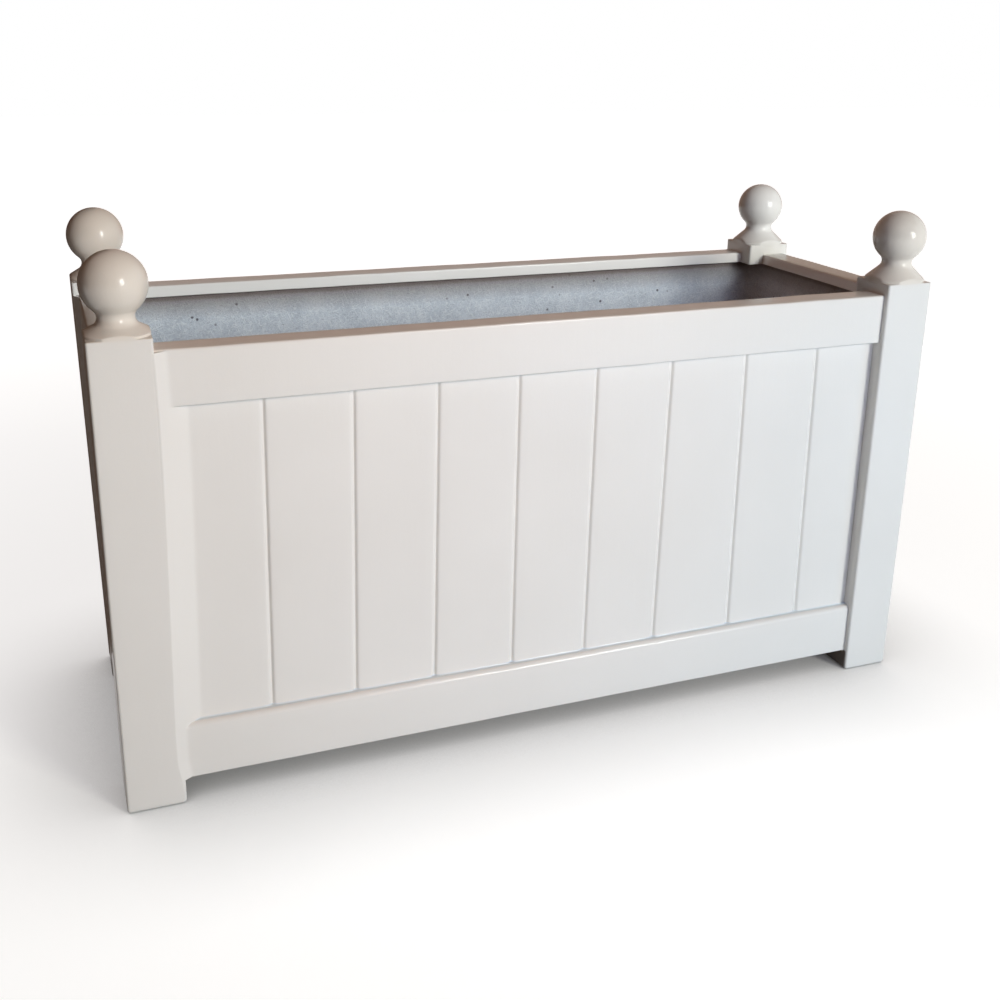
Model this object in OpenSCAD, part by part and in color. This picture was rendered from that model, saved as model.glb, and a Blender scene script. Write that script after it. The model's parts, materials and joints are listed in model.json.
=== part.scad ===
// Rectangular floor planter, moulded and bonded to look like painted joinery.
// Four corner posts with ball finials carry grooved side panels between top and
// bottom rails. A grey liner drops inside them and rests on a small floor frame.
// Millimetres, +Z up. The origin is on the floor under the centre of the planter.

/* [Overall] */
// Length over the outer faces of the posts
length = 1000; // [760:10:1400]
// Depth over the outer faces of the posts
depth = 370; // [300:5:600]
// Height of the flat tops of the posts
post_h = 529; // [400:1:800]

/* [Posts] */
// Width of the square posts
post_w = 63.5; // [58:0.5:80]
// Easing on the upright edges of the posts
post_edge_r = 2.5; // [1:0.1:4]
// Rounding of the lower corners of the feet
foot_r = 3; // [1:0.1:5]
// Width of the strip of each panel that sits in a rebate of the post
rebate_w = 12; // [6:0.5:16]

/* [Top rails] */
// Step down from the post tops to the rim
rim_drop = 14; // [8:0.5:30]
// Height of the front face of the top rails
top_rail_h = 60; // [45:0.5:90]
// Width of the flat rim
rim_w = 34; // [32:0.5:40]
// Depth of the lip that closes the inner edge of the rim
lip_h = 14; // [12:0.5:20]

/* [Bottom rails] */
// Clear height under the bottom rails
foot_h = 27; // [18:0.5:60]
// Height of the bottom rails
bottom_rail_h = 66; // [56:0.5:90]

/* [Rails] */
// Setback of the rail faces behind the post faces
rail_inset = 7; // [4:0.5:9]
// Thickness of the rails, which stand this far proud of the boards
rail_t = 10.5; // [8:0.5:12]
// Easing on the long edges of the rails
rail_edge_r = 1.5; // [0.8:0.1:2]
// Length of the stub tenons on the rail ends
tenon_len = 10; // [6:0.5:12]
// Cheek left on each side of a tenon
tenon_cheek = 3; // [2:0.5:3.5]
// Shoulder left above and below a tenon on the bottom rails
tenon_shoulder = 12; // [8:0.5:16]

/* [Panels] */
// Thickness of the side panels
panel_t = 9; // [7:0.5:10]
// Width of one board on the long sides
board_w = 97; // [80:0.5:110]
// Shift of the board pattern towards the right end of each long side
board_shift = 8; // [-12:1:12]
// Number of boards on the short sides
end_boards = 3; // [2:1:5]
// Width of the vee groove between boards
groove_w = 4.4; // [2:0.1:6]
// Depth of the vee groove
groove_depth = 2.4; // [1:0.1:4]

/* [Corner coves] */
// Width of the filler slope from the post on the left of a side down to the rails
rail_cove_w = 12; // [8:0.5:16]
// Width of the filler slope from the post on the left of a side down to the panel
panel_cove_w = 24; // [18:0.5:28]
// Radius of the hollow that blends the foot of a slope into the rail or the panel
cove_foot_r = 10; // [4:1:16]

/* [Finials] */
// Diameter of the ball
ball_d = 66; // [56:0.5:80]
// Height of the ball centre above the post top
ball_rise = 54; // [51:0.5:60]
// Diameter of the waist under the ball
waist_d = 36; // [30:0.5:40]
// Radius of the hollow that leads from the flare through the waist into the ball
waist_hollow_r = 9; // [7:0.5:11]
// Diameter of the flared base, trimmed flush where it overhangs the post faces
base_d = 70.5; // [64:0.5:78]
// Thickness of the rim of the base
base_t = 2.5; // [1:0.5:4]
// Diameter of the dowel that locates a finial
dowel_d = 12; // [8:1:16]
// Length of the dowel
dowel_len = 60; // [40:1:70]

/* [Liner] */
// Thickness of the liner walls
liner_t = 4; // [3:0.5:5]
// Thickness of the liner floor
liner_floor_t = 5; // [4:0.5:8]
// Outer radius of the upright corners of the liner
liner_r = 30; // [16:1:50]
// Radius of the cove round the edge of the liner floor
liner_cove_r = 5; // [2:0.5:8]
// Thickness of the flange that hangs on the panels
flange_t = 4; // [3:0.5:6]

/* [Drains] */
// Bore of the drain bushes
drain_d = 16; // [10:1:20]
// Wall of the drain bushes
drain_wall = 2; // [1.5:0.5:3]
// Width of the flange of a drain bush beyond its tube
drain_flange = 5; // [3:0.5:7]
// Length of the tube below the liner floor
drain_drop = 10; // [6:1:16]
// Distance of the outer drains from the middle of the planter
drain_reach = 330; // [290:5:340]
// Distance between the inner drains and the middle of the planter
drain_inner = 110; // [80:5:150]

/* [Floor frame] */
// Thickness of the ledgers behind the long bottom rails
ledger_t = 20; // [16:1:25]
// Height of the ledgers
ledger_h = 30; // [24:1:36]
// Height of the ledgers above the lower edge of the bottom rails
ledger_lift = 5; // [0:0.5:10]
// Width of the cross bearers
bearer_w = 60; // [50:1:80]
// Thickness of the cross bearers
bearer_t = 18; // [14:1:22]
// Distance of the outer bearers from the middle of the planter
bearer_reach = 225; // [190:5:260]

/* [Screws] */
// Diameter of the screw shanks
screw_d = 4; // [3:0.5:5]
// Diameter of the countersunk heads
screw_head_d = 8; // [6:0.5:9]
// Length of the ledger screws
ledger_screw_len = 35; // [31:1:36]
// Number of screws along each ledger
ledger_screws_n = 5; // [3:1:8]
// Length of the bearer screws
bearer_screw_len = 35; // [28:1:38]

/* [Fits] */
// Clearance all round tenons, dowels and tubes in their holes
fit = 0.2; // [0.1:0.05:0.4]
// Clearance between the liner and the panels
liner_gap = 0.5; // [0.3:0.1:1]
// Room beyond the end of a tenon or a dowel
end_room = 1; // [0.5:0.5:2]

/* [Hidden] */
$fn = 64;

paint = [0.88, 0.87, 0.85];
grey_laminate = [0.50, 0.54, 0.58];
timber = [0.62, 0.50, 0.36];
steel = [0.70, 0.71, 0.72];
black_plastic = [0.12, 0.12, 0.13];

// Sides and corners are numbered anticlockwise from the front and the front left
FRONT = 0;
RIGHT = 1;
REAR = 2;
LEFT = 3;

// Small overlap that keeps cut faces apart
eps = 0.01;

rim_z = post_h - rim_drop;
lip_z = rim_z - lip_h;
top_rail_z = rim_z - top_rail_h;
ledge_z = foot_h + bottom_rail_h;
board_y = rail_inset + rail_t;
panel_back = board_y + panel_t;
notch_y = panel_back + liner_gap;
ledger_z = foot_h + ledger_lift;
bearer_z = ledger_z + ledger_h;
liner_z = bearer_z + bearer_t;
panel_top = lip_z - flange_t;
tenon_t = rail_t - 2 * tenon_cheek;
tenon_h = lip_h - 2 * tenon_cheek;
rim_tenon_w = rim_w - 4 * tenon_cheek;
drain_tube_d = drain_d + 2 * drain_wall;
drain_xs = [-drain_reach, -drain_inner, drain_inner, drain_reach];
bearer_xs = [-bearer_reach, 0, bearer_reach];

function side_len(side) = side % 2 == 0 ? length : depth;
function side_off(side) = side % 2 == 0 ? depth : length;
function clear_len(side) = side_len(side) - 2 * post_w;
function boards(side) = side % 2 == 0 ? round(clear_len(side) / board_w) : end_boards;
function board_pitch(side) = side % 2 == 0 ? board_w : clear_len(side) / end_boards;
function pattern_shift(side) = side % 2 == 0 ? board_shift : 0;

// Stands its children on one side: X runs along it, Y goes inwards from the post faces
module at_side(side) {
    rotate([0, 0, 90 * side]) translate([0, -side_off(side) / 2, 0]) children();
}

// Stands its children in one corner: the origin is the outer edge of the post
module at_corner(corner) {
    rotate([0, 0, 90 * corner])
        translate([-side_len(corner) / 2, -side_off(corner) / 2, 0]) children();
}

// Rectangle with all corners rounded
module rounded_rect(size, r) {
    union() {
        translate([r, 0]) square([size.x - 2 * r, size.y]);
        translate([0, r]) square([size.x, size.y - 2 * r]);
        for (x = [r, size.x - r], y = [r, size.y - r]) translate([x, y]) circle(r);
    }
}

// Upright face outline of a post, rounded at the foot only
module foot_outline() {
    union() {
        translate([0, foot_r]) square([post_w, post_h - foot_r]);
        translate([foot_r, 0]) square([post_w - 2 * foot_r, 2 * foot_r]);
        for (x = [foot_r, post_w - foot_r]) translate([x, foot_r]) circle(foot_r);
    }
}

// Square post with eased edges and a rounded foot
module post_blank() {
    intersection() {
        linear_extrude(post_h) rounded_rect([post_w, post_w], post_edge_r);
        translate([0, post_w, 0]) rotate([90, 0, 0]) linear_extrude(post_w) foot_outline();
        rotate([90, 0, 90]) linear_extrude(post_w) foot_outline();
    }
}

// Cuts for what joins the post on its X side: the panel rebate and both mortises
module post_side_cuts() {
    translate([post_w - rebate_w, board_y, foot_h])
        cube([rebate_w + eps, panel_t + liner_gap + eps, panel_top - foot_h]);
    translate([post_w - tenon_len - end_room, rail_inset + 2 * tenon_cheek - fit, lip_z + tenon_cheek - fit])
        cube([tenon_len + end_room + eps, rim_tenon_w + 2 * fit, tenon_h + 2 * fit]);
    translate([post_w - tenon_len - end_room, rail_inset + tenon_cheek - fit, foot_h + tenon_shoulder - fit])
        cube([
            tenon_len + end_room + eps,
            tenon_t + 2 * fit,
            bottom_rail_h - 2 * tenon_shoulder + 2 * fit
        ]);
}

// Corner post: square at the foot and the head, hollowed to an angle beside the liner
module post(corner) {
    color(paint) at_corner(corner) difference() {
        post_blank();
        translate([notch_y, notch_y, liner_z]) cube([post_w, post_w, lip_z - liner_z]);
        post_side_cuts();
        mirror([1, -1, 0]) post_side_cuts();
        translate([post_w / 2, post_w / 2, post_h - dowel_len / 2 - end_room])
            cylinder(d = dowel_d + 2 * fit, h = dowel_len / 2 + end_room + eps);
    }
}

ball_r = ball_d / 2;
hollow_x = waist_d / 2 + waist_hollow_r;
waist_z = ball_rise - sqrt(pow(ball_r + waist_hollow_r, 2) - pow(hollow_x, 2));
// From the centre of the hollow to the upper edge of the rim
rim_edge = [base_d / 2 - hollow_x, base_t - waist_z];
// The hollow runs from where the cone of the flare touches it to just short of the ball
cone_turn = 360 + atan2(rim_edge.y, rim_edge.x) - acos(waist_hollow_r / norm(rim_edge));
ball_turn = 180 - 0.9 * acos(hollow_x / (ball_r + waist_hollow_r));
// Steps that round the hollow
turned_steps = 20;

// Half outline of the turned base: a rim, a cone, then one hollow through the waist into the ball
module finial_profile() {
    hollow = [for (i = [0 : turned_steps])
        let (a = cone_turn + (ball_turn - cone_turn) * i / turned_steps)
            [hollow_x + waist_hollow_r * cos(a), waist_z + waist_hollow_r * sin(a)]];
    polygon(concat([[0, 0], [base_d / 2, 0], [base_d / 2, base_t]], hollow, [[0, ball_rise]]));
}

// What the rim of the base loses where it overhangs the post faces
module finial_trim() {
    translate([0, 0, -eps]) linear_extrude(waist_z) difference() {
        translate([(post_w - base_d) / 2 - eps, (post_w - base_d) / 2 - eps])
            square(base_d + 2 * eps);
        rounded_rect([post_w, post_w], post_edge_r);
    }
}

// Ball finial, its base trimmed flush with the post faces
module finial(corner) {
    color(paint) at_corner(corner) translate([0, 0, post_h]) difference() {
        union() {
            translate([post_w / 2, post_w / 2, 0]) rotate_extrude() finial_profile();
            translate([post_w / 2, post_w / 2, ball_rise]) sphere(ball_r);
        }
        finial_trim();
        translate([post_w / 2, post_w / 2, -eps])
            cylinder(d = dowel_d + 2 * fit, h = dowel_len / 2 + end_room);
    }
}

module finial_dowels() {
    color(timber) for (corner = [FRONT, RIGHT, REAR, LEFT])
        at_corner(corner) translate([post_w / 2, post_w / 2, post_h - dowel_len / 2])
            cylinder(d = dowel_d, h = dowel_len);
}

// Cross section of a top rail: a face board under a wide rim with a closed lip
module top_rail_section() {
    translate([rail_inset, lip_z]) rounded_rect([rim_w, lip_h], rail_edge_r);
    translate([rail_inset, top_rail_z]) rounded_rect([rail_t, top_rail_h], rail_edge_r);
    translate([rail_inset + rail_edge_r, top_rail_z]) square([rail_t - rail_edge_r, top_rail_h - rail_edge_r]);
}

// Runs a cross section drawn in Y and Z along a side, between the posts
module along_side(side) {
    translate([-clear_len(side) / 2, 0, 0]) rotate([90, 0, 90])
        linear_extrude(clear_len(side)) children();
}

module top_rail(side) {
    color(paint) at_side(side) union() {
        along_side(side) top_rail_section();
        for (end = [-1, 1])
            translate([
                end * (clear_len(side) + tenon_len) / 2,
                rail_inset + 2 * tenon_cheek + rim_tenon_w / 2,
                lip_z + lip_h / 2
            ])
                cube([tenon_len + eps, rim_tenon_w, tenon_h], center = true);
    }
}

// Bottom rail: a flat board, eased on the edges that show
module bottom_rail(side) {
    color(paint) at_side(side) difference() {
        union() {
            along_side(side) union() {
                translate([rail_inset, foot_h]) rounded_rect([rail_t, bottom_rail_h], rail_edge_r);
                translate([rail_inset + rail_edge_r, foot_h]) square([rail_t - rail_edge_r, bottom_rail_h]);
            }
            for (end = [-1, 1])
                translate([
                    end * (clear_len(side) + tenon_len) / 2,
                    rail_inset + rail_t / 2,
                    foot_h + bottom_rail_h / 2
                ])
                    cube([tenon_len + eps, tenon_t, bottom_rail_h - 2 * tenon_shoulder], center = true);
        }
        if (side % 2 == 0) ledger_screw_holes();
    }
}

// Side panel with vee grooves between the boards
module panel(side) {
    width = clear_len(side) + 2 * (rebate_w - fit);
    pitch = board_pitch(side);
    grooves = boards(side) - 1;
    color(paint) at_side(side) difference() {
        translate([-width / 2, board_y, foot_h]) cube([width, panel_t, panel_top - foot_h]);
        for (i = [0 : grooves - 1])
            translate([pattern_shift(side) + (i - (grooves - 1) / 2) * pitch, board_y, ledge_z - eps])
                linear_extrude(top_rail_z - ledge_z + 2 * eps)
                    polygon([[-groove_w / 2, -eps], [groove_w / 2, -eps], [0, groove_depth]]);
        if (side % 2 == 0) ledger_screw_holes();
    }
}

// The slopes leave the rounded edge of the post halfway round it
cove_start = post_edge_r * (1 - cos(45));
// Steps that round the hollow at the foot of a slope
cove_steps = 6;

// Slope of filler between the edge of the post and a face at depth y, hollowed at its foot
module cove_section(w, y) {
    angle = atan2(y - cove_start, w + cove_start);
    foot_x = w + cove_foot_r * tan(angle / 2);
    hollow = [for (i = [0 : cove_steps])
        let (a = angle * (1 - i / cove_steps))
            [foot_x - cove_foot_r * sin(a), y - cove_foot_r * (1 - cos(a))]];
    difference() {
        polygon(concat([[-cove_start, cove_start]], hollow, [[-cove_start, y]]));
        translate([-post_w, 0]) rounded_rect([post_w, post_w], post_edge_r);
    }
}

// Filler along the post on the left of a side, narrow on the rails and wide on the panel
module cove(side) {
    color(paint) at_side(side) translate([-clear_len(side) / 2, 0, 0]) union() {
        translate([0, 0, foot_h + rail_edge_r])
            linear_extrude(ledge_z - foot_h - rail_edge_r) cove_section(rail_cove_w, rail_inset);
        translate([0, 0, ledge_z - eps])
            linear_extrude(top_rail_z - ledge_z + 2 * eps) cove_section(panel_cove_w, board_y);
        translate([0, 0, top_rail_z])
            linear_extrude(rim_z - rail_edge_r - top_rail_z) cove_section(rail_cove_w, rail_inset);
    }
}

// Outline of the liner at a distance inside its outer face
module liner_outline(inset) {
    size = [length - 2 * notch_y - 2 * inset, depth - 2 * notch_y - 2 * inset];
    translate(-size / 2) rounded_rect(size, liner_r - inset);
}

// Cross section of the cove at the foot of a liner wall, with X out from the corner centres
module liner_cove_section() {
    translate([liner_r - liner_t - liner_cove_r, 0]) difference() {
        translate([0, -eps]) square([liner_cove_r + eps, liner_cove_r + eps]);
        translate([0, liner_cove_r]) circle(liner_cove_r);
    }
}

// Cove all round the edge of the liner floor, straight along the walls and turned in the corners
module liner_cove() {
    for (side = [FRONT, RIGHT, REAR, LEFT]) {
        straight = side_len(side) - 2 * (notch_y + liner_r);
        at_side(side) translate([straight / 2, notch_y + liner_r, 0]) {
            rotate([90, 0, -90]) linear_extrude(straight) liner_cove_section();
            rotate(-90) rotate_extrude(angle = 90) liner_cove_section();
        }
    }
}

// Hollow of the liner, standing on its floor
module liner_hollow() {
    difference() {
        linear_extrude(lip_z - liner_z) liner_outline(liner_t);
        liner_cove();
    }
}

// Hanging flange of the liner, cut back at the posts
module liner_flange() {
    for (side = [FRONT, RIGHT, REAR, LEFT])
        at_side(side) translate([-clear_len(side) / 2 + fit, board_y + fit, panel_top])
            cube([clear_len(side) - 2 * fit, notch_y + liner_t / 2 - board_y - fit, flange_t]);
}

module liner() {
    color(grey_laminate) difference() {
        union() {
            translate([0, 0, liner_z]) linear_extrude(lip_z - liner_z) liner_outline(0);
            liner_flange();
        }
        translate([0, 0, liner_z + liner_floor_t]) liner_hollow();
        for (x = drain_xs)
            translate([x, 0, liner_z - eps])
                cylinder(d = drain_tube_d + 2 * fit, h = liner_floor_t + 2 * eps);
    }
}

// Flanged tubes that line the drain holes
module drain_bushes() {
    color(black_plastic) for (x = drain_xs)
        translate([x, 0, liner_z]) difference() {
            union() {
                translate([0, 0, -drain_drop])
                    cylinder(d = drain_tube_d, h = drain_drop + liner_floor_t + drain_wall);
                translate([0, 0, liner_floor_t])
                    cylinder(d = drain_tube_d + 2 * drain_flange, h = drain_wall);
            }
            translate([0, 0, -drain_drop - eps])
                cylinder(d = drain_d, h = drain_drop + liner_floor_t + drain_wall + 2 * eps);
        }
}

screw_head_h = (screw_head_d - screw_d) / 2;

// Countersunk screw that points down from the origin, larger all round by a clearance
module screw(len, clearance) {
    translate([0, 0, -len - clearance]) cylinder(d = screw_d + 2 * clearance, h = len);
    translate([0, 0, -screw_head_h])
        cylinder(d1 = screw_d + 2 * clearance, d2 = screw_head_d + 2 * clearance, h = screw_head_h);
}

// Stands its children at each ledger screw, pointing outwards through the ledger
module at_ledger_screws() {
    spacing = clear_len(FRONT) / ledger_screws_n;
    for (i = [0 : ledger_screws_n - 1])
        translate([
            (i - (ledger_screws_n - 1) / 2) * spacing,
            panel_back + ledger_t,
            ledger_z + ledger_h / 4
        ])
            rotate([-90, 0, 0]) children();
}

module ledger_screw_holes() {
    at_ledger_screws() screw(ledger_screw_len, fit);
}

// Stands its children at each bearer screw on one long side, pointing down
module at_bearer_screws(bearer_x) {
    for (x = [-bearer_w / 4, bearer_w / 4])
        translate([bearer_x + x, panel_back + ledger_t / 2, liner_z]) children();
}

// Ledger that carries the bearers along a long side
module ledger(side) {
    color(timber) at_side(side) difference() {
        translate([-clear_len(side) / 2 + fit, panel_back, ledger_z])
            cube([clear_len(side) - 2 * fit, ledger_t, ledger_h]);
        ledger_screw_holes();
        for (x = bearer_xs) at_bearer_screws(x) screw(bearer_screw_len, fit);
    }
}

module ledger_screws() {
    color(steel) for (side = [FRONT, REAR])
        at_side(side) at_ledger_screws() screw(ledger_screw_len, 0);
}

// Cross bearer under the liner floor, resting on both ledgers
module bearer(x) {
    span = depth - 2 * notch_y;
    color(timber) difference() {
        translate([x - bearer_w / 2, -span / 2, bearer_z]) cube([bearer_w, span, bearer_t]);
        for (side = [FRONT, REAR])
            at_side(side) at_bearer_screws(side == FRONT ? x : -x) screw(bearer_screw_len, fit);
    }
}

module bearer_screws() {
    color(steel) for (side = [FRONT, REAR], x = bearer_xs)
        at_side(side) at_bearer_screws(x) screw(bearer_screw_len, 0);
}

post(FRONT);  // post_front_left
post(RIGHT);  // post_front_right
post(REAR);  // post_rear_right
post(LEFT);  // post_rear_left
finial(FRONT);  // finial_front_left
finial(RIGHT);  // finial_front_right
finial(REAR);  // finial_rear_right
finial(LEFT);  // finial_rear_left
finial_dowels();
top_rail(FRONT);  // top_rail_front
top_rail(RIGHT);  // top_rail_right
top_rail(REAR);  // top_rail_rear
top_rail(LEFT);  // top_rail_left
bottom_rail(FRONT);  // bottom_rail_front
bottom_rail(RIGHT);  // bottom_rail_right
bottom_rail(REAR);  // bottom_rail_rear
bottom_rail(LEFT);  // bottom_rail_left
panel(FRONT);  // panel_front
panel(RIGHT);  // panel_right
panel(REAR);  // panel_rear
panel(LEFT);  // panel_left
cove(FRONT);  // cove_front
cove(RIGHT);  // cove_right
cove(REAR);  // cove_rear
cove(LEFT);  // cove_left
liner();
drain_bushes();
ledger(FRONT);  // ledger_front
ledger(REAR);  // ledger_rear
ledger_screws();
bearer(-bearer_reach);  // bearer_left
bearer(0);  // bearer_middle
bearer(bearer_reach);  // bearer_right
bearer_screws();
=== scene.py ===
"""Looks of the rectangular planter: painted moulding, rough grey liner, timber floor frame.

Metres, in the frame of the CAD model: X along the long sides, the front at -Y, Z up.
"""

import json
import math

import bmesh
import bpy
from mathutils import Matrix, Vector, noise

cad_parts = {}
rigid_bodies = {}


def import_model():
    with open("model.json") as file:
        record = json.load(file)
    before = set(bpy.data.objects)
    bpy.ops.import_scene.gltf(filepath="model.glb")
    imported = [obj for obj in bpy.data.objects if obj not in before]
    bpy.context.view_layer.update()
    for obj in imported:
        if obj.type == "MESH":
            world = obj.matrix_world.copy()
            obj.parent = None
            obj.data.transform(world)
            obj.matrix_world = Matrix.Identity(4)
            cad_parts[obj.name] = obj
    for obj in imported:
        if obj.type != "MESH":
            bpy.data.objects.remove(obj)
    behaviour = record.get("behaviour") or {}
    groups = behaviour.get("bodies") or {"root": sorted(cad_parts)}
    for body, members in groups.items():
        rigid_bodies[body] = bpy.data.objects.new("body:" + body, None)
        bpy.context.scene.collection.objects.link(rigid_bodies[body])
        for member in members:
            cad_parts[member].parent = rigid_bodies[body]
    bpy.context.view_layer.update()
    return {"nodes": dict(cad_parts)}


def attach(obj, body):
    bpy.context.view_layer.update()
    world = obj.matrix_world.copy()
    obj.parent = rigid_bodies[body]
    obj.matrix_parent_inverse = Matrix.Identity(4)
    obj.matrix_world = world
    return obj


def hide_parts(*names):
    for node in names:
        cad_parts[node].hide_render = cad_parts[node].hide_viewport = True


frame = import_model()

# Sides and corners are numbered anticlockwise from the front and the front left
SIDES = ["front", "right", "rear", "left"]
CORNERS = ["front_left", "front_right", "rear_right", "rear_left"]
FRONT = 0

LENGTH, DEPTH = 1.0, 0.37
POST_W, POST_H = 0.0635, 0.529
POST_EDGE_R, POST_TOP_R, FOOT_R = 0.0028, 0.0012, 0.005
RAIL_INSET, RAIL_T, RIM_W = 0.007, 0.0105, 0.034
RIM_Z, LIP_Z, TOP_RAIL_Z = 0.515, 0.501, 0.455
LEDGE_Z, LEDGE_R, FOOT_H = 0.093, 0.0055, 0.027
BOARD_DEPTH, PANEL_BACK, PANEL_TOP, REBATE_W = 0.0175, 0.0265, 0.497, 0.0118
NOTCH, LINER_Z = 0.027, 0.080
BOARD_W, BOARD_SHIFT, END_BOARDS = 0.097, 0.008, 3

# Rails and filler run this far into their neighbours, so that no gap shows
BITE = 0.0004
# Height from which a painted shadow line darkens the upper edge of the liner under the rails' lip,
# and height of the painted shade that fades out below it
LIP_SHADOW_Z, UNDER_LIP_SHADE_H = 0.4955, 0.026
# How far hand finishing leaves the painted faces from flat, over what distance, and the share
# of that on the rails
WAVE_HEIGHT, WAVE_LENGTH, RAIL_WAVE = 0.00028, 0.11, 0.8
# Where the waves of the top rails, the boards and the bottom rails start
TOP_SEED, BOARD_SEED, BOTTOM_SEED = 2.0, 5.0, 7.0
# Longest runs between two cuts of a mesh: along a long piece, up a slope of filler, round the
# outline of a post, and across the strip of a post that the slope reaches
CUT, SLOPE_CUT, POST_CUT, STRIP_CUT = 0.012, 0.006, 0.008, 0.0008
# Turns in degrees at which a rounded end is cut
ROUND_TURNS = (0, 25, 45, 60, 75, 90)

# Where the eight grooves of the front start under the top rail and end on the bottom rail,
# along X from the middle of the planter
FRONT_GROOVES = [
    (-0.3300, -0.3345), (-0.2333, -0.2380), (-0.1380, -0.1430), (-0.0424, -0.0451),
    (0.0537, 0.0508), (0.1510, 0.1465), (0.2520, 0.2550), (0.3528, 0.3585),
]

# How far the outer face of a post stands in at its foot
POST_LEAN = {"rear_left": 0.0055}

# Radius of a finial's base and height of its rim
BASE_R, RIM_T = 0.03525, 0.0025
# Radius of each ball, height of its centre above the post, shift of its axis along X and Y,
# and radii of the neck under it and of the hollow that runs into the neck
BALLS = {
    "front_left": (0.0335, 0.0496, (0.0006, 0.0006), 0.0186, 0.0095),
    "front_right": (0.0319, 0.0534, (0.0010, 0.0), 0.0180, 0.0090),
    "rear_right": (0.0312, 0.0522, (0.0, 0.0), 0.0180, 0.0090),
    "rear_left": (0.0331, 0.0507, (0.0009, -0.0002), 0.0180, 0.0090),
}


# Materials

def new_material(name):
    """A node material with a Principled shader, and its node tree."""
    material = bpy.data.materials.new(name)
    material.use_nodes = True
    tree = material.node_tree
    tree.nodes.clear()
    out = tree.nodes.new("ShaderNodeOutputMaterial")
    shader = tree.nodes.new("ShaderNodeBsdfPrincipled")
    tree.links.new(shader.outputs["BSDF"], out.inputs["Surface"])
    return material, tree, shader


def node(tree, kind, inputs=None, **settings):
    """A node of that kind, with its settings and its inputs' values or links."""
    made = tree.nodes.new(kind)
    for key, value in settings.items():
        setattr(made, key, value)
    for key, value in (inputs or {}).items():
        if isinstance(value, bpy.types.NodeSocket):
            tree.links.new(value, made.inputs[key])
        else:
            made.inputs[key].default_value = value
    return made


def object_coordinates(tree):
    return node(tree, "ShaderNodeTexCoord").outputs["Object"]


def turned(tree, where, scale, turn=(0, 0, 0)):
    """Coordinates turned and then scaled, so that a texture comes out stretched."""
    about = node(tree, "ShaderNodeMapping", {"Vector": where, "Rotation": turn})
    return node(tree, "ShaderNodeMapping", {"Vector": about.outputs[0], "Scale": scale}).outputs[0]


def cloud(tree, where, scale, detail=2.0, roughness=0.5):
    return node(tree, "ShaderNodeTexNoise", {
        "Vector": where, "Scale": scale, "Detail": detail, "Roughness": roughness}).outputs["Fac"]


def ramp(tree, value, stops):
    """Colour ramp through (position, colour) stops."""
    made = node(tree, "ShaderNodeValToRGB", {"Fac": value})
    elements = made.color_ramp.elements
    for element, (position, colour) in zip(elements, (stops[0], stops[-1])):
        element.position = position
        element.color = (*colour, 1)
    for position, colour in stops[1:-1]:
        elements.new(position).color = (*colour, 1)
    return made.outputs["Color"]


def between(tree, value, low, high, to_low=0.0, to_high=1.0):
    """Value mapped from one span to another, held at its ends."""
    return node(tree, "ShaderNodeMapRange", {
        "Value": value, "From Min": low, "From Max": high, "To Min": to_low, "To Max": to_high,
    }).outputs["Result"]


def maths(tree, operation, first, second=0.0):
    return node(tree, "ShaderNodeMath", {0: first, 1: second}, operation=operation).outputs[0]


def vector_maths(tree, operation, inputs, output):
    return node(tree, "ShaderNodeVectorMath", inputs, operation=operation).outputs[output]


def mixed(tree, share, first, second):
    return node(tree, "ShaderNodeMix", {0: share, 6: first, 7: second}, data_type="RGBA").outputs[2]


def bump(tree, height, strength, distance, normal=None):
    inputs = {"Height": height, "Strength": strength, "Distance": distance}
    if normal is not None:
        inputs["Normal"] = normal
    return node(tree, "ShaderNodeBump", inputs).outputs["Normal"]


def deeper(tree, at, axis, size, far, near):
    """1 further than far behind the outer faces across an axis, and 0 nearer than near."""
    reach = maths(tree, "ABSOLUTE", at[axis])
    return between(tree, reach, size / 2 - far, size / 2 - near, 1.0, 0.0)


# Heights over the feet, and depths behind the outer faces along X and Y, where the painted shade
# under the planter fades into the paint
FOOT_SHADE_TOP, FOOT_SHADE_X, FOOT_SHADE_Y = (-0.0005, 0.0015), (0.010, 0.004), (0.0045, 0.0020)
# Heights from the ledges, below and above, and depths behind the outer faces, where the painted
# shade line in the crease between boards and ledge fades into the paint
LEDGE_SHADE_LOW, LEDGE_SHADE_HIGH, LEDGE_SHADE_DEPTH = (-0.0016, -0.0006), (0.0008, 0.0018), (0.0140, 0.0125)
# Tones of the paint, of the dust on it, of the painted shade under the feet, and of the painted
# shade line along the ledges
PAINT_DARK, PAINT_LIGHT = (0.780, 0.762, 0.735), (0.800, 0.783, 0.758)
DUST_BROWN, FOOT_SHADE_BROWN, LEDGE_SHADE_GREY = (0.30, 0.24, 0.19, 1), (0.11, 0.075, 0.055, 1), (0.68, 0.73, 0.77, 1)


def shaded_feet(tree, at):
    """Undersides and inner sides of the feet, darkened with painted shade."""
    under = between(tree, at["Z"], FOOT_H + FOOT_SHADE_TOP[0], FOOT_H + FOOT_SHADE_TOP[1], 1.0, 0.0)
    behind = maths(tree, "MULTIPLY", deeper(tree, at, "X", LENGTH, *FOOT_SHADE_X),
                   deeper(tree, at, "Y", DEPTH, *FOOT_SHADE_Y))
    return maths(tree, "MULTIPLY", under, behind)


def ledge_shade_line(tree, at):
    """Joint between the boards and the ledges, darkened with a painted shade line."""
    over = between(tree, at["Z"], LEDGE_Z + LEDGE_SHADE_LOW[0], LEDGE_Z + LEDGE_SHADE_LOW[1])
    below = between(tree, at["Z"], LEDGE_Z + LEDGE_SHADE_HIGH[0], LEDGE_Z + LEDGE_SHADE_HIGH[1], 1.0, 0.0)
    joint = maths(tree, "MULTIPLY", over, below)
    for axis, size in (("X", LENGTH), ("Y", DEPTH)):
        joint = maths(tree, "MULTIPLY", joint, deeper(tree, at, axis, size, *LEDGE_SHADE_DEPTH))
    return joint


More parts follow.
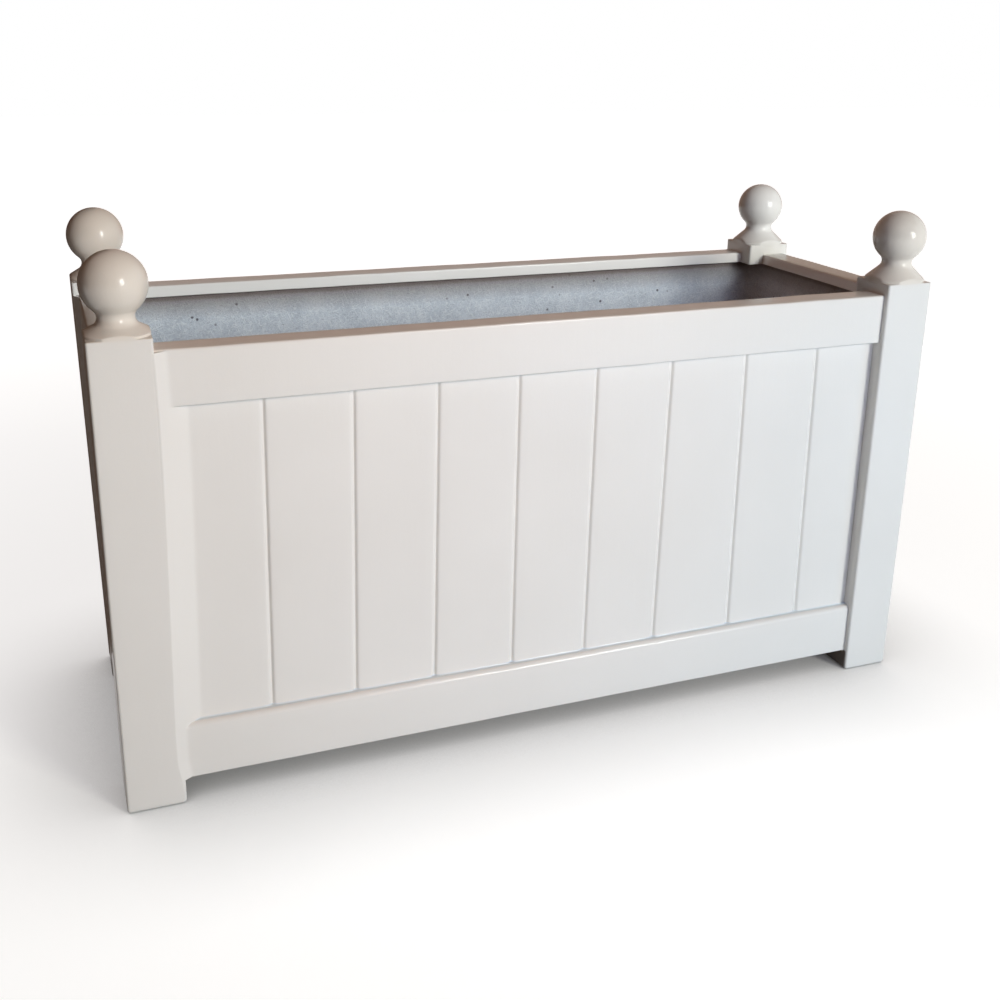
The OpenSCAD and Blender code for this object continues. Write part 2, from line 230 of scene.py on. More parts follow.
def paint():
    """Sprayed off-white gloss over the moulding, with a soft peel, a few nibs of dust, and painted shade
    under the feet and along the ledges.
    """
    material, tree, shader = new_material("off_white_paint")
    where = object_coordinates(tree)
    tone = ramp(tree, cloud(tree, where, 7.0, 3.0), [(0.3, PAINT_DARK), (0.7, PAINT_LIGHT)])
    nib = node(tree, "ShaderNodeTexVoronoi", {"Vector": where, "Scale": 14.0})
    dust = between(tree, nib.outputs["Distance"], 0.010, 0.016, 1.0, 0.0)
    rare = between(tree, cloud(tree, where, 3.1, 0.0), 0.60, 0.62)
    tone = mixed(tree, maths(tree, "MULTIPLY", dust, rare), tone, DUST_BROWN)
    at = node(tree, "ShaderNodeSeparateXYZ", {"Vector": where}).outputs
    # Painted shade on the undersides and inner sides of the feet
    tone = mixed(tree, shaded_feet(tree, at), tone, FOOT_SHADE_BROWN)
    # Painted shade line in the crease where the boards meet the ledges
    tone = mixed(tree, ledge_shade_line(tree, at), tone, LEDGE_SHADE_GREY)
    tree.links.new(tone, shader.inputs["Base Color"])
    shader.inputs["Roughness"].default_value = 0.20
    shader.inputs["IOR"].default_value = 1.5
    run = cloud(tree, turned(tree, where, (90.0, 90.0, 9.0)), 1.0, 2.0)
    soft = bump(tree, run, 0.20, 0.0006)
    peel = bump(tree, cloud(tree, where, 420.0, 1.0), 0.10, 0.0004, soft)
    tree.links.new(peel, shader.inputs["Normal"])
    return material


# Turns of the layers of glass strands, how much further the furrows between them are turned, and
# length and width of a strand and of a furrow
STRAND_TURNS = [(0.0, 0.35, 0.2), (0.5, 1.15, 0.0), (0.2, 1.95, 0.4), (0.9, 2.7, 0.1)]
FURROW_TURN, STRAND, FURROW = 1.4, (0.010, 0.0016), (0.009, 0.0015)
# Tones of the laminate, of its furrows, strands and holes, and of the painted shade and painted
# shadow line under the rails' lip
GLASS_DARK, GLASS_MIDDLE, GLASS_LIGHT = (0.53, 0.58, 0.64), (0.63, 0.685, 0.745), (0.73, 0.775, 0.82)
FURROW_GREY, STRAND_GREY, HOLE_DARK = (0.34, 0.36, 0.42, 1), (0.84, 0.88, 0.90, 1), (0.12, 0.12, 0.15, 1)
UNDER_LIP_SHADE_BROWN, LIP_SHADOW_BROWN = (0.20, 0.165, 0.155, 1), (0.18, 0.15, 0.14, 1)
# Height over which the lower limit of the painted shadow line wanders, and half of that over which it fades
LIP_SHADOW_WANDER, LIP_SHADOW_SOFT = 0.003, 0.0015


def strands(tree, where, turn, length, width):
    """Glass strands, or the furrows between them, that all run one way."""
    stretched = turned(tree, where, (1 / width, 1 / width, 1 / length), turn)
    return between(tree, cloud(tree, stretched, 1.0, 1.0), 0.60, 0.72)


def laminate():
    """Rough side of grey glass-fibre laminate: chopped strands, pinholes and painted shade along its upper
    edge under the lip.
    """
    material, tree, shader = new_material("rough_grey_laminate")
    where = object_coordinates(tree)
    lay, lows = None, None
    for turn in STRAND_TURNS:
        layer = strands(tree, where, turn, *STRAND)
        lay = layer if lay is None else maths(tree, "MAXIMUM", lay, layer)
        furrow = strands(tree, where, tuple(angle + FURROW_TURN for angle in turn), *FURROW)
        lows = furrow if lows is None else maths(tree, "MAXIMUM", lows, furrow)
    tone = ramp(tree, cloud(tree, where, 30.0, 6.0, 0.68), [
        (0.32, GLASS_DARK), (0.5, GLASS_MIDDLE), (0.68, GLASS_LIGHT)])
    tone = mixed(tree, maths(tree, "MULTIPLY", lows, 0.42), tone, FURROW_GREY)
    tone = mixed(tree, maths(tree, "MULTIPLY", lay, 0.60), tone, STRAND_GREY)
    pit = node(tree, "ShaderNodeTexVoronoi", {"Vector": where, "Scale": 62.0})
    hole = between(tree, pit.outputs["Distance"], 0.07, 0.15, 1.0, 0.0)
    some = between(tree, cloud(tree, where, 24.0, 1.0), 0.55, 0.59)
    open_hole = maths(tree, "MULTIPLY", hole, some)
    tone = mixed(tree, open_hole, tone, HOLE_DARK)
    height = node(tree, "ShaderNodeSeparateXYZ", {"Vector": where}).outputs["Z"]
    # Painted shadow line, and painted shade fading out below it, where the rails' lip shades the top of the
    # liner
    wander = maths(tree, "MULTIPLY", cloud(tree, where, 60.0, 2.0), LIP_SHADOW_WANDER)
    ragged = maths(tree, "ADD", height, wander)
    lip_shadow = between(tree, ragged, LIP_SHADOW_Z - LIP_SHADOW_SOFT, LIP_SHADOW_Z + LIP_SHADOW_SOFT)
    under_lip_shade = between(tree, ragged, LIP_SHADOW_Z - UNDER_LIP_SHADE_H, LIP_SHADOW_Z, 0.0, 0.85)
    tone = mixed(tree, under_lip_shade, tone, UNDER_LIP_SHADE_BROWN)
    tree.links.new(mixed(tree, lip_shadow, tone, LIP_SHADOW_BROWN), shader.inputs["Base Color"])
    tree.links.new(between(tree, lay, 0.0, 1.0, 0.62, 0.42), shader.inputs["Roughness"])
    grit = cloud(tree, where, 150.0, 4.0, 0.6)
    relief = maths(tree, "ADD", maths(tree, "MULTIPLY", lay, 0.5), grit)
    relief = maths(tree, "SUBTRACT", relief, maths(tree, "MULTIPLY", lows, 0.4))
    relief = maths(tree, "SUBTRACT", relief, open_hole)
    tree.links.new(bump(tree, relief, 0.6, 0.0016), shader.inputs["Normal"])
    return material


# Tones across a growth ring of the timber, and of its pores
RING_TONES = [(0.0, (0.50, 0.35, 0.21)), (0.6, (0.60, 0.45, 0.29)), (1.0, (0.40, 0.26, 0.145))]
PORE_BROWN = (0.27, 0.17, 0.10, 1)


def timber():
    """Rough-sawn softwood: growth rings along the grain, darker pores and saw marks."""
    material, tree, shader = new_material("sawn_softwood")
    where = object_coordinates(tree)
    warp = turned(tree, where, (3.0, 38.0, 38.0))
    rings = node(tree, "ShaderNodeTexWave", {
        "Vector": warp, "Scale": 1.1, "Distortion": 5.0, "Detail": 3.0, "Detail Scale": 1.4},
        bands_direction="DIAGONAL")
    tone = ramp(tree, rings.outputs["Fac"], RING_TONES)
    pores = cloud(tree, turned(tree, where, (22.0, 900.0, 900.0)), 1.0, 2.0)
    tone = mixed(tree, between(tree, pores, 0.55, 0.75, 0.0, 0.5), tone, PORE_BROWN)
    tree.links.new(tone, shader.inputs["Base Color"])
    shader.inputs["Roughness"].default_value = 0.78
    saw = cloud(tree, turned(tree, where, (700.0, 40.0, 40.0)), 1.0, 2.0)
    tree.links.new(bump(tree, maths(tree, "ADD", saw, pores), 0.4, 0.0008), shader.inputs["Normal"])
    return material


def zinc():
    """Zinc-plated steel with the small spangle and stains of plating."""
    material, tree, shader = new_material("zinc_plated_steel")
    where = object_coordinates(tree)
    spangle = node(tree, "ShaderNodeTexVoronoi", {"Vector": where, "Scale": 900.0})
    tone = ramp(tree, spangle.outputs["Distance"], [
        (0.0, (0.55, 0.56, 0.58)), (0.8, (0.72, 0.72, 0.70))])
    tree.links.new(tone, shader.inputs["Base Color"])
    shader.inputs["Metallic"].default_value = 1.0
    stain = between(tree, cloud(tree, where, 300.0, 2.0), 0.3, 0.7, 0.25, 0.45)
    tree.links.new(stain, shader.inputs["Roughness"])
    return material


def black_plastic():
    """Moulded black plastic with a fine spark texture."""
    material, tree, shader = new_material("black_plastic")
    where = object_coordinates(tree)
    grain = cloud(tree, where, 1400.0, 2.0)
    tone = ramp(tree, grain, [(0.3, (0.020, 0.020, 0.022)), (0.7, (0.045, 0.045, 0.048))])
    tree.links.new(tone, shader.inputs["Base Color"])
    shader.inputs["Roughness"].default_value = 0.45
    tree.links.new(bump(tree, grain, 0.3, 0.0004), shader.inputs["Normal"])
    return material


MATERIALS = {
    "paint": paint(),
    "grey_laminate": laminate(),
    "timber": timber(),
    "steel": zinc(),
    "black_plastic": black_plastic(),
}


# Mesh helpers

def rounded(corners, steps=6):
    """Outline of a polygon with square corners (x, y, radius), each rounded off by its radius."""
    outline = []
    for i, (x, y, radius) in enumerate(corners):
        here = Vector((x, y))
        if not radius:
            outline.append(here)
            continue
        before = (Vector(corners[i - 1][:2]) - here).normalized() * radius
        after = (Vector(corners[(i + 1) % len(corners)][:2]) - here).normalized() * radius
        for step in range(steps + 1):
            turn = math.radians(90 * step / steps)
            outline.append(here + before + after - math.cos(turn) * after - math.sin(turn) * before)
    return outline


def divided(outline, longest):
    """The same closed outline with its long runs cut into short ones."""
    cut = []
    for i, start in enumerate(outline):
        end = outline[(i + 1) % len(outline)]
        parts = max(1, math.ceil((end - start).length / longest))
        cut += [start.lerp(end, part / parts) for part in range(parts)]
    return cut


def spread(start, end, parts):
    return [start + (end - start) * part / parts for part in range(parts + 1)]


def steps_between(start, end, longest):
    return spread(start, end, max(1, math.ceil(abs(end - start) / longest)))


def round_steps(radius):
    """Distances from the end of a rounded edge at which it is cut."""
    return [radius * (1 - math.cos(math.radians(turn))) for turn in ROUND_TURNS]


def skin(rings):
    """Vertices and faces of a closed surface over rings of equal length, capped at both ends."""
    count = len(rings[0])
    faces = [tuple(reversed(range(count)))]
    for row in range(len(rings) - 1):
        low, high = row * count, (row + 1) * count
        for i in range(count):
            after = (i + 1) % count
            faces.append((low + i, low + after, high + after, high + i))
    faces.append(tuple(range((len(rings) - 1) * count, len(rings) * count)))
    return [point for ring in rings for point in ring], faces


def wave(point, height=WAVE_HEIGHT, length=WAVE_LENGTH):
    """How far the hand-finished surface stands off its true plane at a point."""
    return height * noise.noise(Vector(point) / length)


def add_piece(name, shells, slot, replaced, place, sharp=40.0):
    """One closed piece from (vertices, faces) shells, standing for the CAD nodes it replaces."""
    vertices, faces = [], []
    for shell_vertices, shell_faces in shells:
        start = len(vertices)
        vertices += [place @ Vector(point) for point in shell_vertices]
        faces += [tuple(start + i for i in face) for face in shell_faces]
    mesh = bpy.data.meshes.new(name)
    mesh.from_pydata(vertices, [], faces)
    shape = bmesh.new()
    shape.from_mesh(mesh)
    bmesh.ops.recalc_face_normals(shape, faces=shape.faces)
    for face in shape.faces:
        face.smooth = True
    for edge in shape.edges:
        edge.smooth = edge.calc_face_angle(0.0) < math.radians(sharp)
    shape.to_mesh(mesh)
    shape.free()
    mesh.materials.append(MATERIALS[slot])
    piece = bpy.data.objects.new(name, mesh)
    bpy.context.scene.collection.objects.link(piece)
    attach(piece, "root")
    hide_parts(replaced)


# Places

def side_length(side):
    return LENGTH if side % 2 == 0 else DEPTH


def clear_length(side):
    return side_length(side) - 2 * POST_W


def place_side(side):
    """From a side's own frame, X along it and Y inwards from the post faces, to the model's."""
    turn = Matrix.Rotation(math.radians(90 * side), 4, "Z")
    return turn @ Matrix.Translation((0, -side_length(side + 1) / 2, 0))


def place_corner(corner):
    """From a corner's own frame, with its origin at the outer edge of the post, to the model's."""
    turn = Matrix.Rotation(math.radians(90 * corner), 4, "Z")
    return turn @ Matrix.Translation((-side_length(corner) / 2, -side_length(corner + 1) / 2, 0))


# Filler slope

# Rounding where the slope leaves the post, hollow at its foot, and its angle to the faces
FILLER_EDGE_R, FILLER_FOOT_R, FILLER_TURN = 0.0045, 0.009, math.radians(31)
# Height, and how far before the inner face of the post the slope starts there
FILLER_START = [
    (0.020, 0.0035), (0.031, 0.0050), (0.050, 0.0080), (0.090, 0.0080), (0.180, 0.0058),
    (0.270, 0.0034), (0.360, 0.0012), (0.450, 0.0002), (0.515, 0.0015),
]
# The slope's lower and upper ends, and how far beyond them the post takes to be square again
FILLER_LOW, FILLER_HIGH, FILLER_FADE = FOOT_H + 0.0015, RIM_Z - 0.0015, 0.008
# How far a post is drawn back under the slope, so that the two don't flicker
FILLER_UNDER = 0.00015


def filler_start(z):
    """Where the slope starts at a height, along X from the inner face of the post."""
    if z <= FILLER_START[0][0]:
        return -FILLER_START[0][1]
    for (low, first), (high, second) in zip(FILLER_START, FILLER_START[1:]):
        if z <= high:
            return -first - (second - first) * (z - low) / (high - low)
    return -FILLER_START[-1][1]


def filler_run(face):
    """Length along X of the straight part of the slope down to a face at that depth."""
    rounding = (FILLER_EDGE_R + FILLER_FOOT_R) * (1 - math.cos(FILLER_TURN))
    return (face - rounding) / math.tan(FILLER_TURN)


def filler_depth(u, face):
    """Depth of the slope behind the post's front, at a distance along X from its start."""
    edge = FILLER_EDGE_R * math.sin(FILLER_TURN)
    to_foot = edge + filler_run(face)
    to_end = to_foot + FILLER_FOOT_R * math.sin(FILLER_TURN)
    if u <= 0:
        return 0.0
    if u < edge:
        return FILLER_EDGE_R - math.sqrt(FILLER_EDGE_R ** 2 - u ** 2)
    if u < to_foot:
        return FILLER_EDGE_R * (1 - math.cos(FILLER_TURN)) + (u - edge) * math.tan(FILLER_TURN)
    return face - FILLER_FOOT_R + math.sqrt(FILLER_FOOT_R ** 2 - max(0.0, to_end - u) ** 2)


def leaned(x, y, z, corner):
    """A point of a post or its filler, moved in near its outer face where the post isn't plumb."""
    near = max(0.0, 1 - max(y, 0.0) / BOARD_DEPTH)
    return x, y + POST_LEAN.get(CORNERS[corner], 0.0) * (1 - z / POST_H) * near, z


def shaved(x, y, z):
    """A point of a post's outline, drawn back under the slope that starts on its front."""
    beyond = max(FILLER_LOW - z, z - FILLER_HIGH, 0.0)
    under = filler_depth(x - POST_W - filler_start(z), BOARD_DEPTH)
    if beyond >= FILLER_FADE or not under:
        return x, y
    return x, max(y, (under + FILLER_UNDER) * (1 - beyond / FILLER_FADE))


# Posts and finials

def eased(height, radius):
    """How far a rounded end of a piece draws in, at a distance from that end."""
    return radius - math.sqrt(max(0.0, radius ** 2 - (radius - min(height, radius)) ** 2))


def notched(x, y):
    """A point of the square outline, moved onto the angle section beside the liner."""
    if x <= NOTCH or y <= NOTCH:
        return x, y
    return (POST_W - (y - NOTCH), NOTCH) if x > y else (NOTCH, POST_W - (x - NOTCH))


# Strip of a post's front that the slope of filler reaches, and heights between the rounded
# foot and the rounded head
STRIP_W, SHAFT_LOW, SHAFT_HIGH = 0.018, 0.010, 0.523
# A point nearer to a plane than this lies in it
FLAT = 1e-6


def post_outline():
    """Outline of a post, cut finely across the strip that the slope of filler reaches."""
    corners = [(0, 0), (POST_W, 0), (POST_W, POST_W), (0, POST_W)]
    square = divided(rounded([(*corner, POST_EDGE_R) for corner in corners]), POST_CUT)
    start = next(i for i, point in enumerate(square) if point.y < FLAT and point.x > POST_W - STRIP_W)
    stop = next(i for i, point in enumerate(square) if point.y > FLAT and point.x > POST_W - POST_EDGE_R)
    strip = steps_between(square[start].x, square[stop - 1].x, STRIP_CUT)
    square[start:stop] = [Vector((x, 0.0)) for x in strip]
    return square


def post_heights():
    """Heights at which a post is cut, each with whether its inner corner is notched there."""
    head = [POST_H - down for down in reversed(round_steps(POST_TOP_R))]
    heights = [(z, False) for z in round_steps(FOOT_R) + steps_between(SHAFT_LOW, LINER_Z, CUT)]
    heights += [(z, True) for z in steps_between(LINER_Z, LIP_Z, CUT)]
    return heights + [(z, False) for z in steps_between(LIP_Z, SHAFT_HIGH, CUT) + head]


def post_rings(corner):
    half = POST_W / 2
    square = post_outline()
    rings = []
    for z, hollow in post_heights():
        inset = eased(z, FOOT_R) + eased(POST_H - z, POST_TOP_R)
        ring = []
        for point in square:
            x, y = notched(*point) if hollow else shaved(*point, z)
            if hollow and y < NOTCH:
                x, y = shaved(x, y, z)
            out = Vector((x - half, y - half))
            out *= 1 - inset / half
            out += out.normalized() * wave((x, y, z))
            ring.append(leaned(half + out.x, half + out.y, z, corner))
        rings.append(ring)
    return rings


# Cuts along the cone, the hollow and the ball of a finial, and round it
CONE_CUTS, HOLLOW_CUTS, BALL_CUTS, ROUND_CUTS = 14, 24, 60, 144
# Share of the cone that its rounded rim takes, and turn that the flat top of the ball takes
RIM_SHARE, POLE = 0.04, 0.012
# Heights at which the part of the base in the post is cut, and the height of its step
BASE_CUTS, BASE_STEP = (-0.006, -0.003, 0.0), -0.004
# How far the base stands out of the post's faces above that step, and in below it
BASE_OUT, BASE_IN = 0.00005, -0.0006
# Rounding of the rim: how far down it starts, and how far its middle lies down and in
RIM_ROUND, RIM_MIDDLE = 0.0006, 0.0002
# Width of the soft edge where the base is dressed flush
FLUSH_EDGE = 0.0008


def flush(offset, limit):
    """An offset from the axis of a post, held just inside its face with a soft edge."""
    size = abs(offset)
    if size > limit - FLUSH_EDGE:
        size = limit - FLUSH_EDGE * math.exp(-(size - limit + FLUSH_EDGE) / FLUSH_EDGE)
    return math.copysign(size, offset)


def finial_outline(ball_r, rise, waist_r, hollow_r):
    """Half outline of a finial, from below the rim of its base to the top of the ball."""
    hollow_x = waist_r + hollow_r
    waist_z = rise - math.sqrt((ball_r + hollow_r) ** 2 - hollow_x ** 2)
    rim = Vector((BASE_R - hollow_x, RIM_T - waist_z))
    start = 2 * math.pi + math.atan2(rim.y, rim.x) - math.acos(hollow_r / rim.length)
    stop = math.pi - math.acos(hollow_x / (ball_r + hollow_r))
    foot = Vector((hollow_x + hollow_r * math.cos(start), waist_z + hollow_r * math.sin(start)))
    edge = Vector((BASE_R, RIM_T))
    outline = [(BASE_R, z) for z in BASE_CUTS]
    outline += [(BASE_R, RIM_T - RIM_ROUND), (BASE_R - RIM_MIDDLE, RIM_T - RIM_MIDDLE)]
    for i in range(CONE_CUTS):
        outline.append(tuple(edge.lerp(foot, RIM_SHARE + (1 - RIM_SHARE) * i / CONE_CUTS)))
    for turn in spread(start, stop, HOLLOW_CUTS):
        outline.append((hollow_x + hollow_r * math.cos(turn), waist_z + hollow_r * math.sin(turn)))
    lowest = -math.pi / 2 + math.atan2(outline[-1][0], rise - outline[-1][1])
    for turn in spread(lowest, math.pi / 2 - POLE, BALL_CUTS)[1:]:
        outline.append((ball_r * math.cos(turn), rise + ball_r * math.sin(turn)))
    return outline, waist_z


def finial_rings(corner):
    """Turned finial whose base is dressed flush with the faces of the post."""
    ball_r, rise, shift, waist_r, hollow_r = BALLS[CORNERS[corner]]
    local = Matrix.Rotation(math.radians(-90 * corner), 2) @ Vector(shift)
    outline, waist_z = finial_outline(ball_r, rise, waist_r, hollow_r)
    centre = POST_W / 2
    rings = []
    for radius, z in outline:
        carried = min(1.0, max(0.0, z / waist_z))
        limit = centre + (BASE_OUT if z > BASE_STEP else BASE_IN)
        ring = []
        for i in range(ROUND_CUTS):
            turn = 2 * math.pi * i / ROUND_CUTS
            x, y = radius * math.cos(turn), radius * math.sin(turn)
            if z < waist_z:
                x, y = flush(x, limit), flush(y, limit)
            ring.append((centre + x + local.x * carried, centre + y + local.y * carried, POST_H + z))
        rings.append(ring)
    return rings


def make_posts():
    for corner, name in enumerate(CORNERS):
        place = place_corner(corner)
        add_piece("painted_post_" + name, [skin(post_rings(corner))], "paint", "post_" + name, place)
        add_piece("painted_finial_" + name, [skin(finial_rings(corner))], "paint", "finial_" + name, place,
                  sharp=60.0)


# Rails

# Corners of a section, each with its radius
TOP_RAIL_SECTION = [
    (RAIL_INSET, TOP_RAIL_Z, 0.0018), (RAIL_INSET, RIM_Z, 0.0022),
    (RAIL_INSET + RIM_W, RIM_Z, 0.0018), (RAIL_INSET + RIM_W, LIP_Z, 0.0010),
    (RAIL_INSET + RAIL_T, LIP_Z, 0), (RAIL_INSET + RAIL_T, TOP_RAIL_Z, 0.0008),
]
# Rounding between the underside of a bottom rail and the post beside it, and how far up the
# rail it reaches
FILLET_R, FILLET_H = 0.0045, 0.004
# Height and length of the waves along the edges of a rail, and where they start
EDGE_WAVE, EDGE_WAVE_LENGTH, EDGE_WAVE_START = 0.0005, 0.06, Vector((0.3, 0.7, 0.2))
BOTTOM_RAIL_SECTION = [
    (RAIL_INSET, FOOT_H, 0.0018), (RAIL_INSET, LEDGE_Z, LEDGE_R),
    (RAIL_INSET + RAIL_T, LEDGE_Z, 0), (RAIL_INSET + RAIL_T, FOOT_H, 0),
]


def rail_rings(side, section, seed):
    """A rail whose underside, where it stands over the floor, turns down into the posts."""
    outline = divided(rounded(section), CUT)
    half = clear_length(side) / 2
    ends = round_steps(FILLET_R)
    across = [-half - BITE] + [-half + off for off in ends] + steps_between(CUT - half, half - CUT, CUT)
    across += [half - off for off in reversed(ends)] + [half + BITE]
    rings = []
    for x in across:
        turned_down = eased(max(0.0, half - abs(x)), FILLET_R)
        ring = []
        for y, z in outline:
            off = Vector((x, y + seed, z))
            dy = wave(off) * RAIL_WAVE
            dz = wave(off + EDGE_WAVE_START, EDGE_WAVE, EDGE_WAVE_LENGTH)
            ring.append((x, y + dy, z + dz - (turned_down if z < FOOT_H + FILLET_H else 0.0)))
        rings.append(ring)
    return rings


def make_rails():
    for side, name in enumerate(SIDES):
        top = skin(rail_rings(side, TOP_RAIL_SECTION, TOP_SEED + side))
        bottom = skin(rail_rings(side, BOTTOM_RAIL_SECTION, BOTTOM_SEED + side))
        add_piece("painted_top_rail_" + name, [top], "paint", "top_rail_" + name, place_side(side))
        add_piece("painted_bottom_rail_" + name, [bottom], "paint", "bottom_rail_" + name, place_side(side))


# Panels

GROOVE_DEPTH, GROOVE_REACH = 0.0027, 0.0019
# How much wider a groove grows at its lower end, and over what height
GROOVE_FLARE, GROOVE_FLARE_H = 0.9, 0.0022
# Height over which a groove runs out under the top rail
GROOVE_FADE = 0.0035
# Half widths of what a groove shapes and of the strip that is cut finely for it
GROOVE_HALF, GROOVE_STRIP = 0.012, 0.013
# Depth and height of the paint in the corners below and above the boards
LOW_PAINT, LOW_PAINT_H, HIGH_PAINT, HIGH_PAINT_H = 0.0010, 0.0009, 0.0008, 0.0009
# Parts that a board is cut into, distances from the middle of a groove at which the panel is
# cut, and distances from its ends
BOARD_CUTS = 7
GROOVE_CUTS = [
    0.0, 0.0004, 0.0008, 0.0012, 0.0016, 0.0020, 0.0025, 0.0031, 0.0038, 0.0047, 0.006, 0.009,
]
END_CUTS = [0.0, 0.0004, 0.0009, 0.0015, 0.0023, 0.0033, 0.005, 0.0075, 0.012]
# Distances that the panel reaches on behind the rails before its next cut
BEHIND_RAIL, BEHIND_RAIL_EDGE = 0.006, 0.0005
# Distance from the rails at which the even cuts of the boards start
EVEN_CUTS = 0.02
# Distance behind a rail from which the boards are left plain
HIDDEN = 0.002


def grooves_of(side):
    """Top and bottom places of the grooves of a side, along it from its middle."""
    if side == FRONT:
        return FRONT_GROOVES
    if side % 2 == 0:
        count, pitch, shift = round(clear_length(side) / BOARD_W) - 1, BOARD_W, BOARD_SHIFT
    else:
        count, pitch, shift = END_BOARDS - 1, clear_length(side) / END_BOARDS, 0.0
    return [(shift + (i - (count - 1) / 2) * pitch,) * 2 for i in range(count)]


def lowered(z):
    """Share of the way from the top rail down to the ledge at a height."""
    return max(0.0, min(1.0, (TOP_RAIL_Z - z) / (TOP_RAIL_Z - LEDGE_Z)))


def board_front(x, z, grooves):
    """Depth of the boards behind the post faces at a point of the panel."""
    depth = BOARD_DEPTH + wave((x, BOARD_SEED, z))
    if z < LEDGE_Z - HIDDEN or z > TOP_RAIL_Z + HIDDEN:
        return depth
    up = max(z - LEDGE_Z, 0.0)
    down = max(TOP_RAIL_Z - z, 0.0)
    reach = GROOVE_REACH * (1 + GROOVE_FLARE * math.exp(-up / GROOVE_FLARE_H))
    fade = 1 - math.exp(-(down / GROOVE_FADE) ** 2)
    for top, bottom in grooves:
        off = abs(x - (top + (bottom - top) * lowered(z)))
        if off < GROOVE_HALF:
            depth += GROOVE_DEPTH * fade / (1 + (off / reach) ** 3)
    return depth - LOW_PAINT * math.exp(-up / LOW_PAINT_H) - HIGH_PAINT * math.exp(-down / HIGH_PAINT_H)


def panel_rings(side):
    """Boards of a side as one skin, cut finely across and at the ends of its grooves."""
    grooves = grooves_of(side)
    half = clear_length(side) / 2 + REBATE_W
    heights = [FOOT_H, LEDGE_Z - BEHIND_RAIL, LEDGE_Z - BEHIND_RAIL_EDGE]
    heights += [LEDGE_Z + up for up in END_CUTS]
    heights += steps_between(LEDGE_Z + EVEN_CUTS, TOP_RAIL_Z - EVEN_CUTS, CUT)
    heights += [TOP_RAIL_Z - down for down in reversed(END_CUTS)]
    heights += [TOP_RAIL_Z + BEHIND_RAIL_EDGE, TOP_RAIL_Z + BEHIND_RAIL, PANEL_TOP]
    rings = []
    for z in heights:
        across = []
        start = -half
        for top, bottom in grooves:
            middle = top + (bottom - top) * lowered(z)
            across += spread(start, middle - GROOVE_STRIP, BOARD_CUTS)
            across += [middle - cut for cut in reversed(GROOVE_CUTS)]
            across += [middle + cut for cut in GROOVE_CUTS[1:]]
            start = middle + GROOVE_STRIP
        across += spread(start, half, BOARD_CUTS)
        ring = [(x, board_front(x, z, grooves), z) for x in across]
        rings.append(ring + [(half, PANEL_BACK, z), (-half, PANEL_BACK, z)])
    return rings


def make_panels():
    for side, name in enumerate(SIDES):
        boards = skin(panel_rings(side))
        add_piece("painted_panel_" + name, [boards], "paint", "panel_" + name, place_side(side))


# Coves

# Width of the film at either edge of a slope, place of its middle cut, and how far the film
# lies in at its ends and at that cut, and the slope stands out
FILM_W, FILM_CUT = 0.0012, 0.0004
FILM_END, FILM_MIDDLE, SLOPE_OUT = 0.00008, 0.00002, -0.00003
# Depth at which a slope closes behind the front of the post
FILM_BACK = 0.0008
# How far the slope on the boards runs into those on the rails
COVE_BITE = 0.0001
# Cuts across the rounded edge, the straight part and the foot of a slope, and up its top end
SLOPE_EDGE_CUTS, SLOPE_CUTS, TOP_END_CUTS = 6, 8, 8


def film(u, to_end):
    """How far the filler lies in at a distance along X from the start of the slope."""
    if u < -FILM_CUT or u > to_end:
        return FILM_END
    return FILM_MIDDLE if u < 0 else SLOPE_OUT


def cove_rings(side, face_at, low, high, stand_off):
    """Slope of filler from the front of the post down to a face, whose depth goes by the height."""
    edge = FILLER_EDGE_R * math.sin(FILLER_TURN)
    rings = []
    heights = steps_between(low, high - LEDGE_R, SLOPE_CUT)
    for z in heights + spread(high - LEDGE_R, high, TOP_END_CUTS)[1:]:
        face = face_at(z)
        to_foot = edge + filler_run(face)
        to_end = to_foot + FILLER_FOOT_R * math.sin(FILLER_TURN)
        across = [-FILM_W, -FILM_CUT] + spread(0.0, edge, SLOPE_EDGE_CUTS)
        across += spread(edge, to_foot, SLOPE_CUTS)[1:] + spread(to_foot, to_end, SLOPE_CUTS)[1:]
        across.append(to_end + FILM_W)
        start = filler_start(z)
        ring = []
        for u in across:
            x, y = start + u, filler_depth(u, face) + film(u, to_end)
            out = Vector((x + POST_W / 2, y - POST_W / 2))
            out = out.normalized() * wave((x + POST_W, y, z))
            foot = max(0.0, min(1.0, (u - edge) / (to_foot - edge)))
            ring.append((x + out.x * (1 - foot), y + out.y * (1 - foot) + stand_off(x, z) * foot, z))
        ring += [(start + to_end + FILM_W, face + BITE, z), (-BITE, face + BITE, z)]
        ring += [(-BITE, filler_depth(-BITE - start, face) + FILM_BACK, z), (start - FILM_W, FILM_BACK, z)]
        rings.append([leaned(*point, side) for point in ring])
    return rings


def rounded_ledge(z):
    """Depth of a bottom rail's face behind the posts, drawn back where its upper edge is rounded."""
    return RAIL_INSET + eased(LEDGE_Z - z, LEDGE_R)


def make_coves():
    for side, name in enumerate(SIDES):
        middle = -clear_length(side) / 2

        def on_rail(seed):
            return lambda x, z: wave((middle + x, RAIL_INSET + seed, z)) * RAIL_WAVE

        def on_panel(x, z):
            return wave((middle + x, BOARD_SEED, z))

        low, high = LEDGE_Z - COVE_BITE, TOP_RAIL_Z + COVE_BITE
        shells = [
            skin(cove_rings(side, rounded_ledge, FILLER_LOW, LEDGE_Z, on_rail(BOTTOM_SEED + side))),
            skin(cove_rings(side, lambda z: BOARD_DEPTH, low, high, on_panel)),
            skin(cove_rings(side, lambda z: RAIL_INSET, TOP_RAIL_Z, FILLER_HIGH, on_rail(TOP_SEED + side))),
        ]
        place = place_side(side) @ Matrix.Translation((middle, 0, 0))
        add_piece("filler_cove_" + name, shells, "paint", "cove_" + name, place)


# What stays from the CAD model

